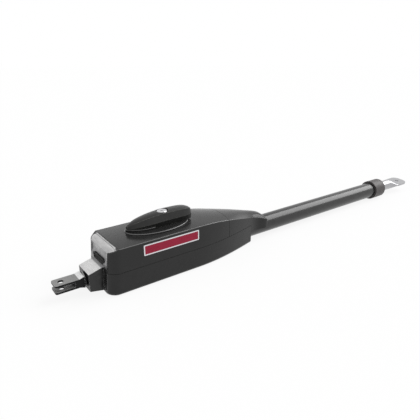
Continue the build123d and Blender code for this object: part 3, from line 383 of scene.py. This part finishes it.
# Each row is a depth into the casting and an inset from the slot's edge, in millimetres.
flange_rows = ((2.5, 0.0), (0.1, 0.0), (0.1, -3.4), (-0.4, -3.4), (-0.8, -3.0), (-0.9, -2.4))
rim_rows = ((-0.9, -0.4), (-0.6, 0.2), (1.3, 1.4), (1.5, 2.1), (1.5, 2.6))
grommet = surface(
    "grommet",
    [slot_loop(grommet_low.x + depth * mm, inset * mm) for depth, inset in flange_rows + rim_rows],
    soft_rubber,
)
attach(grommet, "housing")
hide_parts("cable_grommet")

spot_pitch = 13.0
spot_points = 20
# Each row is a depth into the casting and a radius, in millimetres.
spot_rows = ((1.45, 2.1), (1.05, 2.0), (0.9, 1.7), (1.1, 1.3), (1.2, 0.5))
for spot in (-1, 0, 1):
    spot_loops = []
    for depth, radius in spot_rows:
        loop = []
        for k in range(spot_points):
            angle = 2 * math.pi * k / spot_points
            spot_y = spot * spot_pitch + radius * math.cos(angle)
            loop.append((grommet_low.x + depth * mm, spot_y * mm, grommet_z + radius * mm * math.sin(angle)))
        spot_loops.append(loop)
    cable_spot = surface(f"cable_spot_{spot + 2}", spot_loops, soft_rubber)
    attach(cable_spot, "housing")

# Screws of the chassis, the covers, the board and the motor: steel with a black oxide finish,
# rubbed to bare metal on their rims.
black_oxide = new_finish("black_oxide", colour=(0.06, 0.06, 0.062), roughness=0.42, metal=0.8)
mottle(black_oxide, size=1.2, share=0.5, colour=(0.1, 0.1, 0.105))
polish(black_oxide, size=1.5, low=0.35, high=0.5)
emboss(black_oxide, size=0.3, depth=0.02, strength=0.5)
rubbed_and_lit_edges(black_oxide, width=0.25, colour=(0.4, 0.4, 0.4), share=0.6)
dress(black_oxide, "black_screws", "frame_screws", "cover_screws", "board_screws", "motor_screws")

# Covers: three mouldings in charcoal plastic with a fine spark-eroded grain and a dusty sheen. The
# lower one carries the works, and the upper one and the nose are screwed to it from below. The
# rounded upper edges get a painted highlight on the body, which fades out towards the nose.
grained_plastic = new_finish("grained_plastic", colour=(0.014, 0.014, 0.014), roughness=0.3, specular=0.1)
mottle(grained_plastic, size=26.0, share=0.45, colour=(0.021, 0.021, 0.021))
mottle(grained_plastic, size=0.7, share=0.3, colour=(0.026, 0.026, 0.026))
polish(grained_plastic, size=8.0, low=0.24, high=0.32)
emboss(grained_plastic, size=0.5, depth=0.02, strength=0.4, detail=2.0)
cover_shader = shader_of(grained_plastic)
cover_shader.inputs["Coat Weight"].default_value = 0.35
cover_shader.inputs["Coat Roughness"].default_value = 0.14
cover_shader.inputs["Sheen Weight"].default_value = 0.22
cover_shader.inputs["Sheen Roughness"].default_value = 0.25
# Painted highlight: faces turning from the wall to the top are tinted lighter.
above_wall = ramp(grained_plastic, "Normal", "Z", start=0.3, end=0.55)
beside_top = ramp(grained_plastic, "Normal", "Z", start=0.78, end=0.93, low=1.0, high=0.0)
highlit_edge = product(grained_plastic, above_wall, beside_top)
highlight_end = 400.0
highlight_fade = 50.0
highlight_stop = highlight_end + highlight_fade
on_body = ramp(grained_plastic, "Object", "X", highlight_end * mm, highlight_stop * mm, low=1.0, high=0.0)
highlight_grey = (0.15, 0.15, 0.15)
tint(grained_plastic, product(grained_plastic, highlit_edge, on_body), highlight_grey)
# Lighter edges on the covers: partly wear, partly a painted highlight along them.
rubbed_and_lit_edges(grained_plastic, width=1.2, colour=(0.05, 0.05, 0.05), share=0.8)
dress(grained_plastic, "dark_plastic", "upper_cover", "nose_cover", "lower_cover")

# Badge: a thin pressed plate in crimson enamel with a raised silver border, bedded in a recess
# of the upper cover. It is left bare.
border_silver = new_finish("border_silver", colour=(0.78, 0.78, 0.8), roughness=0.28, metal=0.4)
mottle(border_silver, size=1.0, share=0.3, colour=(0.62, 0.62, 0.64))
polish(border_silver, size=2.0, low=0.22, high=0.36)
emboss(border_silver, size=0.3, depth=0.01, strength=0.4)
dress(border_silver, "silver_border", "badge_border")
crimson_enamel = new_finish("crimson_enamel", colour=(0.29, 0.005, 0.03), roughness=0.32, specular=0.25)
mottle(crimson_enamel, size=12.0, share=0.35, colour=(0.4, 0.012, 0.055))
mottle(crimson_enamel, size=0.4, share=0.3, colour=(0.26, 0.006, 0.032))
polish(crimson_enamel, size=3.0, low=0.26, high=0.38)
emboss(crimson_enamel, size=0.6, depth=0.015, strength=0.5)
dress(crimson_enamel, "red_plate", "badge_plate")

# Release lever: a boat-shaped handle moulded in smooth black plastic, with a painted highlight along
# the rounded ridge on each side of its top. It is keyed to the steel shaft that works the clutch.
satin_plastic = new_finish("satin_plastic", colour=(0.011, 0.011, 0.0105), roughness=0.34, specular=0.34)
mottle(satin_plastic, size=18.0, share=0.5, colour=(0.017, 0.017, 0.016))
# Painted highlight in the band of faces between the flank and the top.
above_flank = ramp(satin_plastic, "Normal", "Z", start=0.5, end=0.66)
beside_ridge = ramp(satin_plastic, "Normal", "Z", start=0.66, end=0.8, low=1.0, high=0.0)
ridge_highlight = (0.11, 0.11, 0.105)
tint(satin_plastic, product(satin_plastic, above_flank, beside_ridge), ridge_highlight)
polish(satin_plastic, size=6.0, low=0.3, high=0.42)
emboss(satin_plastic, size=0.35, depth=0.02, strength=0.45, detail=2.0)
# Lighter gently turned edges on the lever: partly wear, partly a painted highlight.
rubbed_and_lit_edges(satin_plastic, width=1.6, colour=(0.16, 0.16, 0.15), share=1.0, turned=0.93, flat=0.995)
dress(satin_plastic, "lever_plastic", "release_lever")

# Lock in the lever's top: a plated cylinder with a key slot in a black bezel, and its cam below.
# The bezel's black moulding is also that of the motor's brush caps and of two board parts.
black_moulding = new_finish("black_moulding", colour=(0.004, 0.004, 0.004), roughness=0.5, specular=0.2)
mottle(black_moulding, size=3.0, share=0.5, colour=(0.008, 0.008, 0.008))
polish(black_moulding, size=2.0, low=0.42, high=0.58)
emboss(black_moulding, size=0.4, depth=0.02, strength=0.5)
dress(black_moulding, "black_plastic", "lock_bezel", "brush_caps", "relay", "capacitor")
lock_plate = new_finish("lock_plate", colour=(0.6, 0.6, 0.61), roughness=0.16, metal=1.0)
mottle(lock_plate, size=2.0, share=0.3, colour=(0.45, 0.45, 0.46))
polish(lock_plate, size=1.5, low=0.08, high=0.22)
emboss(lock_plate, size=0.3, depth=0.008, strength=0.3)
dress(lock_plate, "lock_chrome", "lock_cylinder", "lock_cam")

# Outer tube: rolled and welded steel in a semi-gloss dark powder coat, faintly rippled. Two cross
# pins fix it to the chassis inside the nose.
powder_coat = new_finish("powder_coat", colour=(0.012, 0.012, 0.012), roughness=0.24, specular=0.5)
mottle(powder_coat, size=20.0, share=0.5, colour=(0.028, 0.028, 0.028))
polish(powder_coat, size=4.0, low=0.18, high=0.28)
emboss(powder_coat, size=1.8, depth=0.04, strength=0.35)
rubbed_and_lit_edges(powder_coat, width=0.5, colour=(0.2, 0.2, 0.2), share=0.5)
dress(powder_coat, "dark_painted_steel", "outer_tube")

# Front cap: a brown-grey moulding on the end of the tube. It holds the wiper and the bush that the
# ram runs in.
cap_moulding = new_finish("cap_moulding", colour=(0.06, 0.053, 0.053), roughness=0.46, specular=0.4)
mottle(cap_moulding, size=10.0, share=0.5, colour=(0.085, 0.077, 0.076))
polish(cap_moulding, size=4.0, low=0.4, high=0.52)
emboss(cap_moulding, size=0.5, depth=0.04, strength=0.5)
rubbed_and_lit_edges(cap_moulding, width=0.9, colour=(0.26, 0.25, 0.25), share=0.7)
dress(cap_moulding, "cap_plastic", "front_cap")

# Ram: bright chromed tube that slides out of the cap. Its end is pressed flat and drilled for
# the bolt of the gate bracket.
ram_chrome = new_finish("ram_chrome", colour=(0.42, 0.42, 0.43), roughness=0.16, metal=1.0)
mottle(ram_chrome, size=4.0, share=0.35, colour=(0.32, 0.32, 0.33))
polish(ram_chrome, size=3.0, low=0.1, high=0.26)
emboss(ram_chrome, size=0.4, depth=0.01, strength=0.4, stretch=(1, 6, 6))
dress(ram_chrome, "chrome_steel", "ram_tube")

# Ground steel inside the body and the tube: the lead screw, the shafts and pins, the ball bearings
# and the spring rings. The grinding marks run along the axis.
ground_steel = new_finish("ground_steel", colour=(0.55, 0.55, 0.56), roughness=0.25, metal=1.0)
mottle(ground_steel, size=1.0, share=0.4, colour=(0.42, 0.42, 0.43), stretch=(8, 1, 1))
polish(ground_steel, size=2.0, low=0.18, high=0.34)
emboss(ground_steel, size=0.2, depth=0.01, strength=0.4, stretch=(10, 1, 1))
dress(
    ground_steel, "bearing_steel", "lever_shaft", "guide_rod", "bearing_outer_races", "bearing_inner_races",
    "bearing_balls", "motor_shaft", "idler_axle", "idler_clip", "gear_retaining_ring", "tube_pins",
    "lead_screw",
)

# Nut of the lead screw: cast bronze, turned to run on the screw and pressed into the rear end of
# the ram.
cast_bronze = new_finish("cast_bronze", colour=(0.6, 0.4, 0.18), roughness=0.35, metal=1.0)
mottle(cast_bronze, size=3.0, share=0.5, colour=(0.48, 0.3, 0.13))
polish(cast_bronze, size=2.0, low=0.28, high=0.45)
emboss(cast_bronze, size=0.4, depth=0.02, strength=0.4)
dress(cast_bronze, "bronze", "ram_nut")

# Gears and clutch of hardened steel, black with oil: both pinions, the output gear, the dog sleeve
# and the fork that shifts it.
oiled_steel = new_finish("oiled_steel", colour=(0.35, 0.35, 0.36), roughness=0.3, metal=1.0)
mottle(oiled_steel, size=3.0, share=0.5, colour=(0.26, 0.25, 0.24))
polish(oiled_steel, size=2.0, low=0.2, high=0.42)
emboss(oiled_steel, size=0.4, depth=0.02, strength=0.4)
dress(oiled_steel, "gear_steel", "motor_pinion", "idler_pinion", "output_gear", "dog_sleeve", "shift_fork")

# Nylon parts in their natural cream: the large idler wheel, the guide on the screw's tip and the
# bush in the end of the tube.
natural_nylon = new_finish("natural_nylon", colour=(0.72, 0.69, 0.6), roughness=0.45, specular=0.5)
mottle(natural_nylon, size=5.0, share=0.4, colour=(0.64, 0.6, 0.5))
polish(natural_nylon, size=2.0, low=0.38, high=0.5)
emboss(natural_nylon, size=0.5, depth=0.02, strength=0.4)
dress(natural_nylon, "gear_nylon", "idler_wheel", "screw_tip_guide", "guide_bush")

# Gear chassis and the motor's end bell: raw die cast aluminium, machined at the bores. The chassis
# carries the motor, the gears and the screw, and its two rails are screwed to the end casting.
die_casting = new_finish("die_casting", colour=(0.5, 0.5, 0.51), roughness=0.45, metal=0.8)
mottle(die_casting, size=6.0, share=0.5, colour=(0.42, 0.42, 0.43))
polish(die_casting, size=3.0, low=0.38, high=0.55)
emboss(die_casting, size=0.6, depth=0.05, strength=0.4)
dress(die_casting, "machined_aluminium", "gear_chassis", "motor_end_bell")

# Motor: a drawn and zinc plated can round an armature of stacked steel sheets. Two ferrite magnets
# are glued to the inside of the can.
plated_can = new_finish("plated_can", colour=(0.5, 0.5, 0.5), roughness=0.3, metal=1.0)
mottle(plated_can, size=5.0, share=0.4, colour=(0.42, 0.42, 0.44))
polish(plated_can, size=3.0, low=0.24, high=0.4)
emboss(plated_can, size=0.4, depth=0.01, strength=0.4, stretch=(0.6, 8, 8))
dress(plated_can, "motor_steel", "motor_can", "motor_armature")
ferrite = new_finish("ferrite", colour=(0.05, 0.05, 0.055), roughness=0.6, metal=0.2)
mottle(ferrite, size=1.5, share=0.5, colour=(0.08, 0.08, 0.085))
polish(ferrite, size=2.0, low=0.5, high=0.7)
emboss(ferrite, size=0.4, depth=0.03, strength=0.5)
dress(ferrite, "magnet", "motor_magnets")

# Windings: enamelled copper wound round pairs of the armature's slots. Each coil bulges past both
# ends of the stack.
enamelled_copper = new_finish("enamelled_copper", colour=(0.55, 0.2, 0.07), roughness=0.3, metal=0.9)
mottle(enamelled_copper, size=0.5, share=0.5, colour=(0.4, 0.13, 0.04))
polish(enamelled_copper, size=1.0, low=0.22, high=0.4)
emboss(enamelled_copper, size=0.3, depth=0.05, strength=0.7, stretch=(1, 6, 1))
core_low, core_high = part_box("motor_armature")
shaft_low, shaft_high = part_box("motor_shaft")
axis_z = (shaft_low.z + shaft_high.z) / 2
coil_count = 10
coil_points = 13
wire_points = 8
wire_radius = 1.5 * mm
coil_bulge = 3.2 * mm
coil_below_rim = 2.6 * mm
coil_outer = (core_high.z - core_low.z) / 2 - coil_below_rim
coil_inner = 7.2 * mm
coil_sink = 0.55
flat_coil_share = 0.6
for side_name, core_end, outward in (("rear", core_low.x, -1), ("front", core_high.x, 1)):
    for coil in range(coil_count):
        first_slot = 2 * math.pi * coil / coil_count
        two_slots = 4 * math.pi / coil_count
        bulge = coil_bulge * (1.0 if coil % 2 else flat_coil_share)
        centre_line = []
        for k in range(coil_points):
            share = k / (coil_points - 1)
            dip = math.sin(math.pi * share)
            angle = first_slot + two_slots * share
            radius = coil_outer - (coil_outer - coil_inner) * coil_sink * dip
            x = core_end + outward * (wire_radius + bulge * dip)
            centre_line.append(Vector((x, radius * math.cos(angle), axis_z + radius * math.sin(angle))))
        wire_loops = []
        for k, point in enumerate(centre_line):
            ahead = centre_line[min(k + 1, coil_points - 1)] - centre_line[max(k - 1, 0)]
            side = ahead.cross(Vector((1, 0, 0))).normalized()
            above = side.cross(ahead).normalized()
            loop = []
            for j in range(wire_points):
                turn = 2 * math.pi * j / wire_points
                loop.append(point + wire_radius * (side * math.cos(turn) + above * math.sin(turn)))
            wire_loops.append(loop)
        coil_end = surface(f"coil_{side_name}_{coil + 1}", wire_loops, enamelled_copper)
        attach(coil_end, "motor_rotor")

# Terminal board: green solder mask over glass cloth, on four posts of the lower cover. Pluggable
# terminals, a relay and a capacitor stand on it.
solder_mask = new_finish("solder_mask", colour=(0.02, 0.12, 0.04), roughness=0.32, specular=0.5)
mottle(solder_mask, size=2.5, share=0.4, colour=(0.03, 0.2, 0.07))
polish(solder_mask, size=2.0, low=0.26, high=0.38)
emboss(solder_mask, size=0.8, depth=0.02, strength=0.4)
dress(solder_mask, "board_green", "terminal_board")
terminal_green = new_finish("terminal_green", colour=(0.05, 0.22, 0.08), roughness=0.42, specular=0.45)
mottle(terminal_green, size=2.0, share=0.4, colour=(0.07, 0.3, 0.11))
polish(terminal_green, size=2.0, low=0.36, high=0.48)
emboss(terminal_green, size=0.4, depth=0.02, strength=0.4)
dress(terminal_green, "terminal_plastic", "terminal_blocks")
